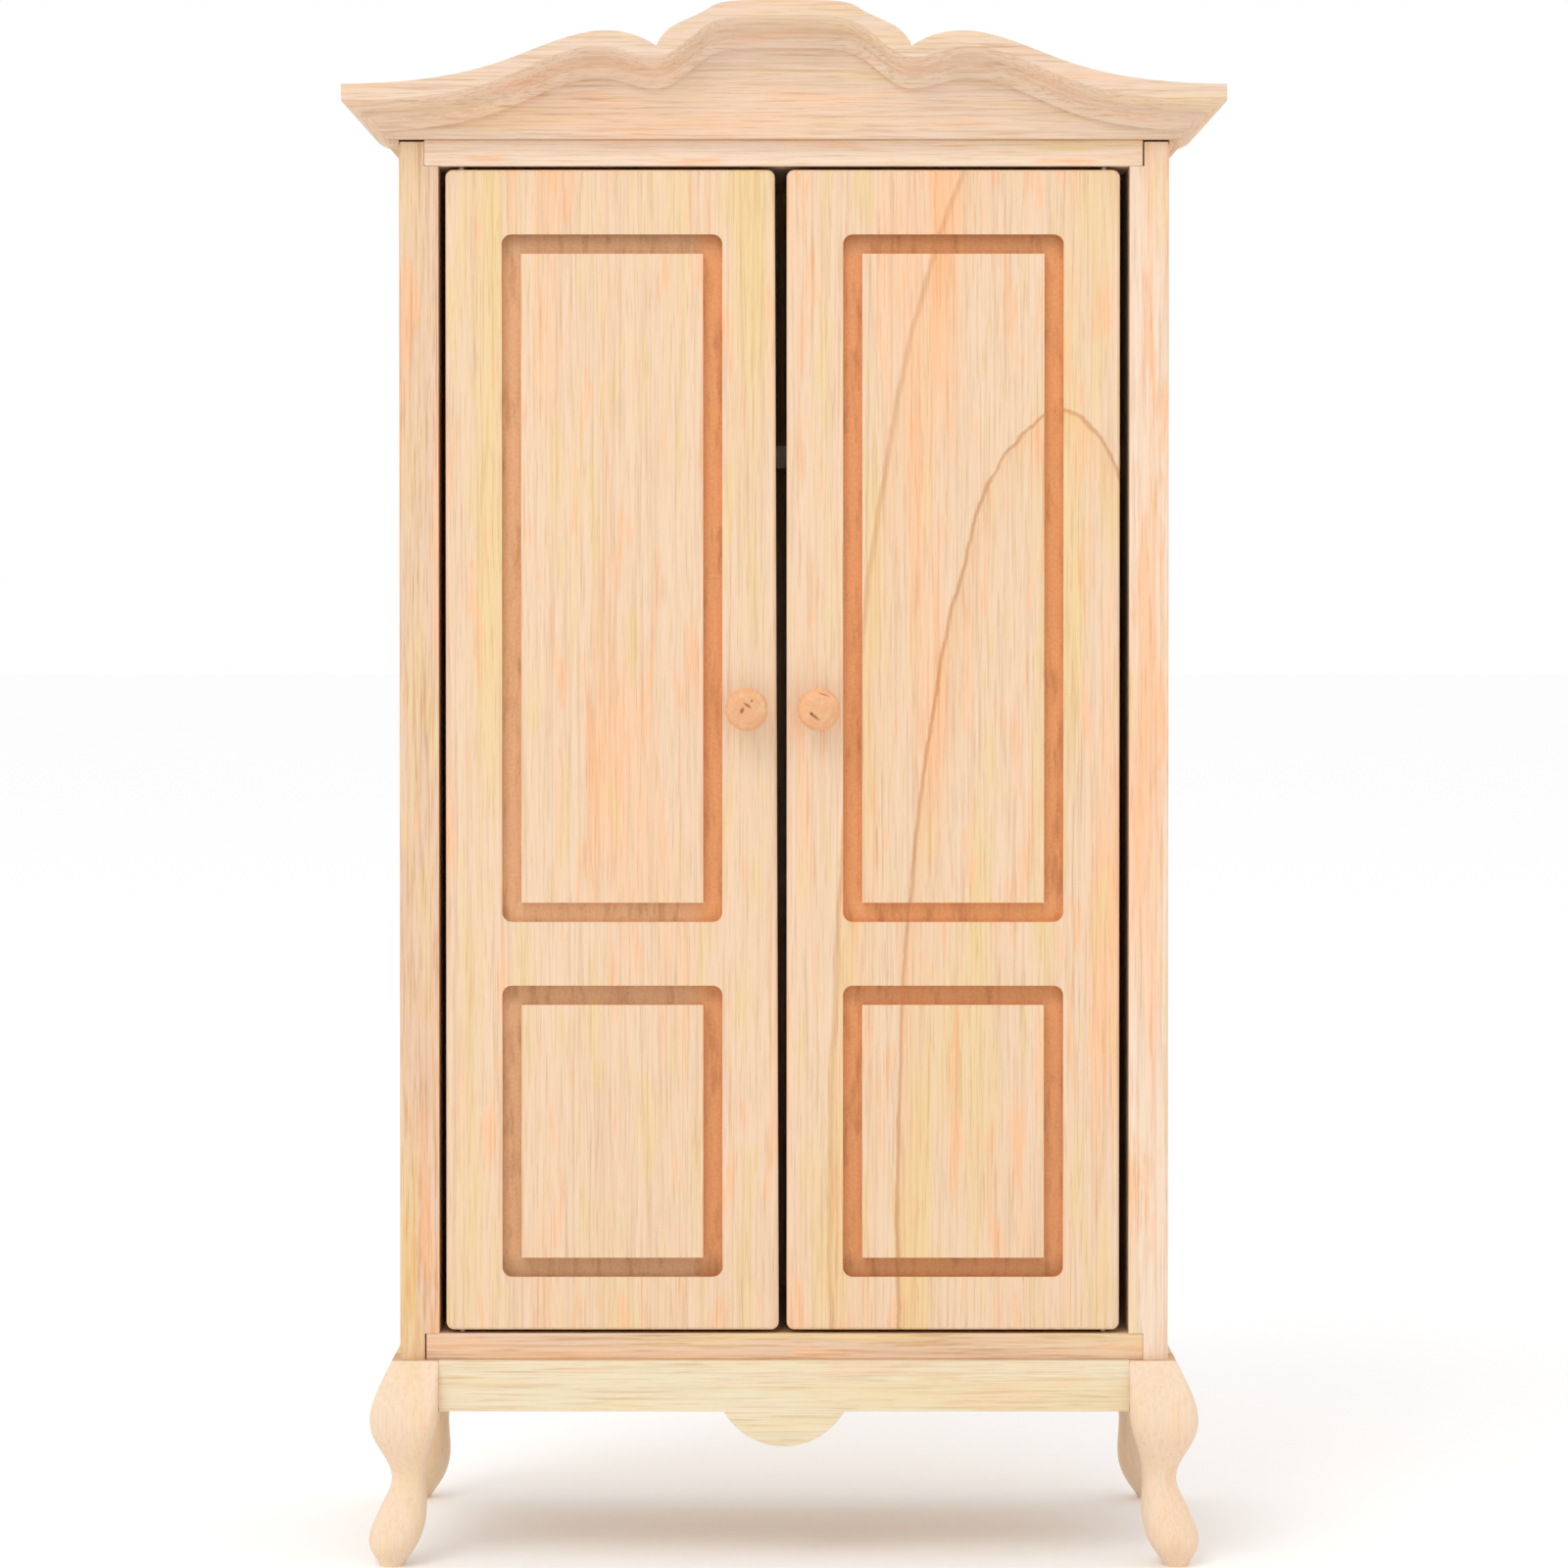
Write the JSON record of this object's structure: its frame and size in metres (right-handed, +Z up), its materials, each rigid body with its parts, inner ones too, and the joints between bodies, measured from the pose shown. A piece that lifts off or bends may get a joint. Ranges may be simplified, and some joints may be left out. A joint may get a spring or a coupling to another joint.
{
  "type": "miniature wardrobe",
  "caption": "Dolls house wardrobe in bare wood: hinged panelled doors with turned knobs, a hat shelf inside, serpentine crest and cabriole legs.",
  "frame": {"origin": "on the floor under the middle of the bounding box, between the feet", "axes": "+Z up, +X to the right of a person facing the doors, doors face -Y, back panel faces +Y"},
  "size_m": [0.1, 0.0466, 0.1782],
  "materials": {
    "carcass_wood": "bare sanded pale hardwood",
    "door_wood": "bare sanded pale hardwood, routed grooves a little darker",
    "crown_wood": "bare moulded pale hardwood",
    "base_wood": "bare sanded cream hardwood",
    "knob_wood": "bare turned hardwood, end grain tip",
    "pin_steel": "plain drawn nail wire"
  },
  "bodies": {
    "cabinet": {"left_side_panel": "carcass_wood", "right_side_panel": "carcass_wood", "top_board": "carcass_wood", "bottom_board": "carcass_wood", "back_panel": "carcass_wood", "shelf": "carcass_wood", "left_top_pin": "pin_steel", "left_bottom_pin": "pin_steel", "right_top_pin": "pin_steel", "right_bottom_pin": "pin_steel", "front_apron": "base_wood", "rear_apron": "base_wood", "left_apron": "base_wood", "right_apron": "base_wood", "front_left_leg": "base_wood", "front_right_leg": "base_wood", "rear_left_leg": "base_wood", "rear_right_leg": "base_wood", "crest_front": "crown_wood", "left_crown_return": "crown_wood", "right_crown_return": "crown_wood"},
    "left_door": {"left_door": "door_wood", "left_knob": "knob_wood"},
    "right_door": {"right_door": "door_wood", "right_knob": "knob_wood"}
  },
  "joints": [
    {"name": "left_door_hinge", "type": "hinge", "parent": "cabinet", "child": "left_door", "pos_m": [-0.03695, -0.01555, 0.0932], "axis": [0, 0, -1], "range_deg": [0, 105]},
    {"name": "right_door_hinge", "type": "hinge", "parent": "cabinet", "child": "right_door", "pos_m": [0.03665, -0.01555, 0.0932], "axis": [0, 0, 1], "range_deg": [0, 105]}
  ]
}
